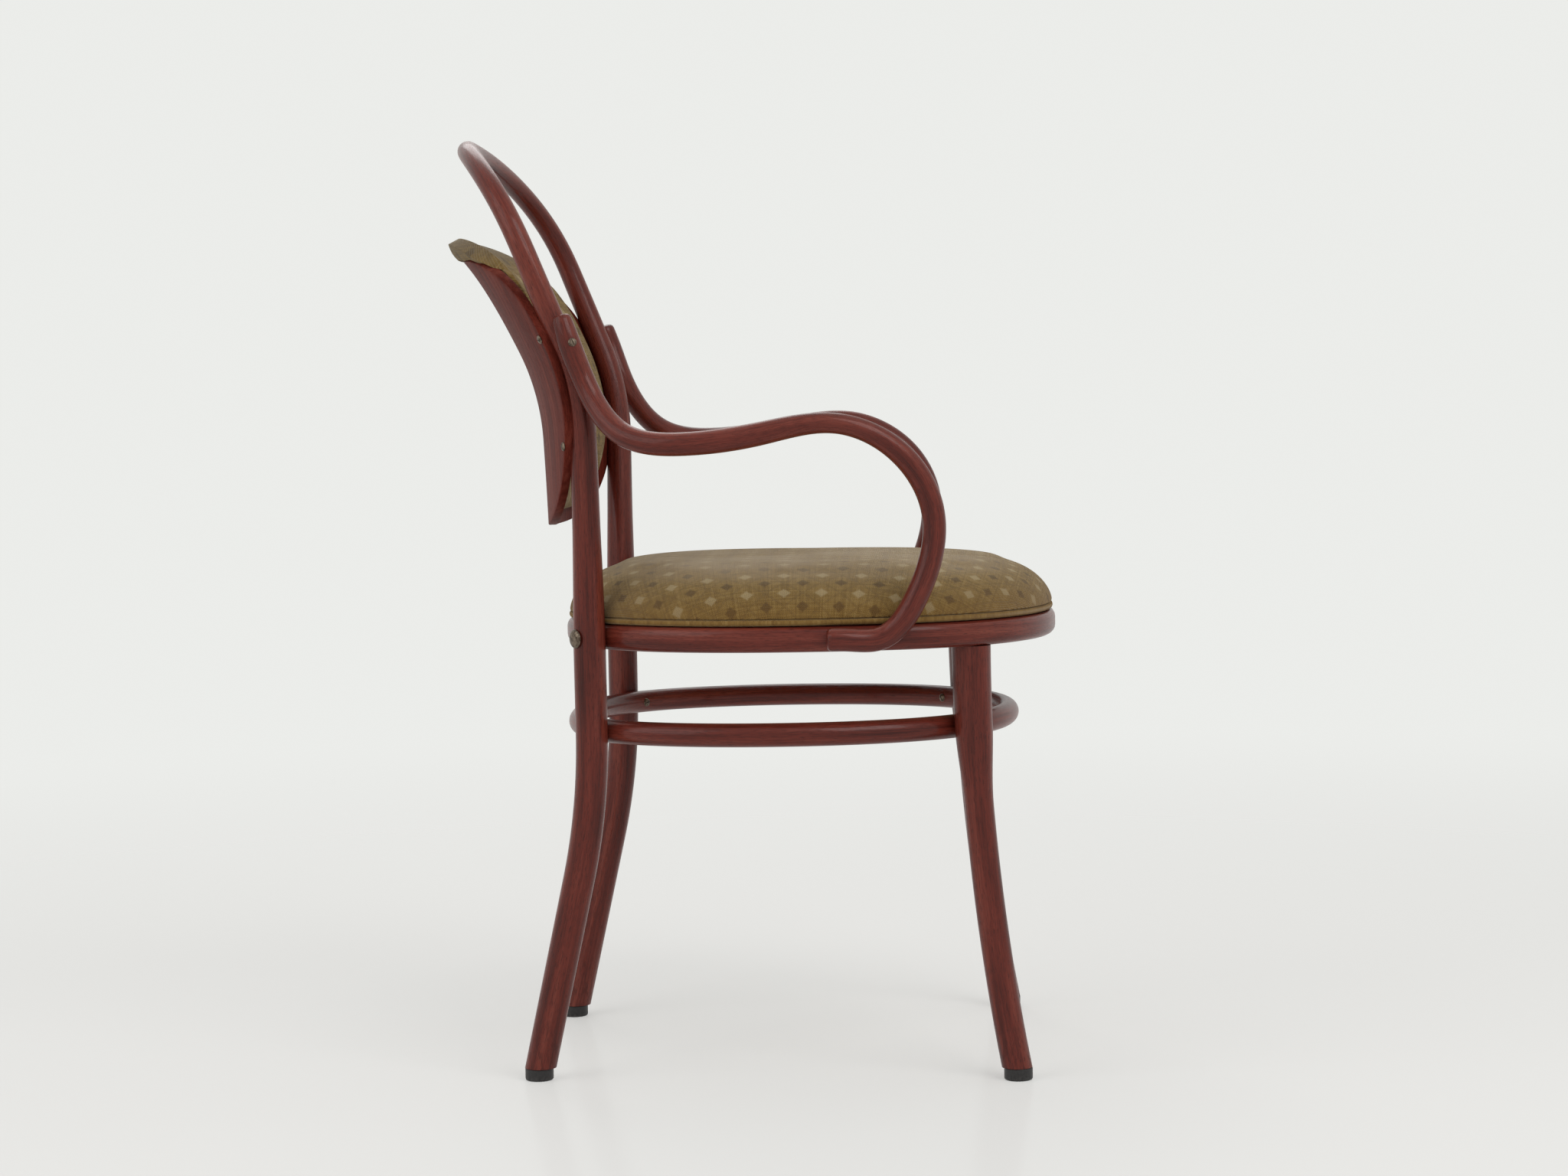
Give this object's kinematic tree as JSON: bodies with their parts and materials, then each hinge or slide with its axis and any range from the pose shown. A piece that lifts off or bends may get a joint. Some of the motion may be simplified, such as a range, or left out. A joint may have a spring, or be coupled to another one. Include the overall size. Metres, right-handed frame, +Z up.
{
  "type": "bentwood armchair",
  "caption": "Bentwood armchair with a one-piece back hoop and rear legs, a round stretcher ring, looped arms, a padded seat and a padded moulded back panel.",
  "frame": {"origin": "on the floor, under the middle of the chair's bounding box", "axes": "+Z up, -Y the way the chair faces, +X the sitter's left"},
  "size_m": [0.5158, 0.5652, 0.8565],
  "materials": {
    "bentwood": "red-brown stain, glossy lacquer",
    "back_plywood": "red-brown stained plywood, satin lacquer",
    "seat_plywood": "raw plywood",
    "fabric": "olive upholstery cloth with a small spotted weave",
    "steel": "browned with age",
    "glide": "near black"
  },
  "bodies": {
    "root": {"back_hoop": "bentwood", "seat_rim": "bentwood", "front_leg_left": "bentwood", "front_leg_right": "bentwood", "stretcher_ring": "bentwood", "arm_left": "bentwood", "arm_right": "bentwood", "back_panel": "back_plywood", "seat_board": "seat_plywood", "seat_cushion": "fabric", "seat_welt": "fabric", "back_pad": "fabric", "glide_front_left": "glide", "glide_front_right": "glide", "glide_rear_left": "glide", "glide_rear_right": "glide", "rear_bolt_left": "steel", "rear_bolt_right": "steel", "rear_washer_left": "steel", "rear_washer_right": "steel", "rear_nut_left": "steel", "rear_nut_right": "steel", "stretcher_screw_front_left": "steel", "stretcher_screw_front_right": "steel", "stretcher_screw_rear_left": "steel", "stretcher_screw_rear_right": "steel", "arm_top_screw_left": "steel", "arm_top_screw_right": "steel", "arm_foot_screw_front_left": "steel", "arm_foot_screw_front_right": "steel", "arm_foot_screw_rear_left": "steel", "arm_foot_screw_rear_right": "steel", "panel_screw_low_left": "steel", "panel_screw_low_right": "steel", "panel_screw_high_left": "steel", "panel_screw_high_right": "steel", "board_screw_front_left": "steel", "board_screw_front_right": "steel", "board_screw_rear_left": "steel", "board_screw_rear_right": "steel"}
  },
  "joints": []
}
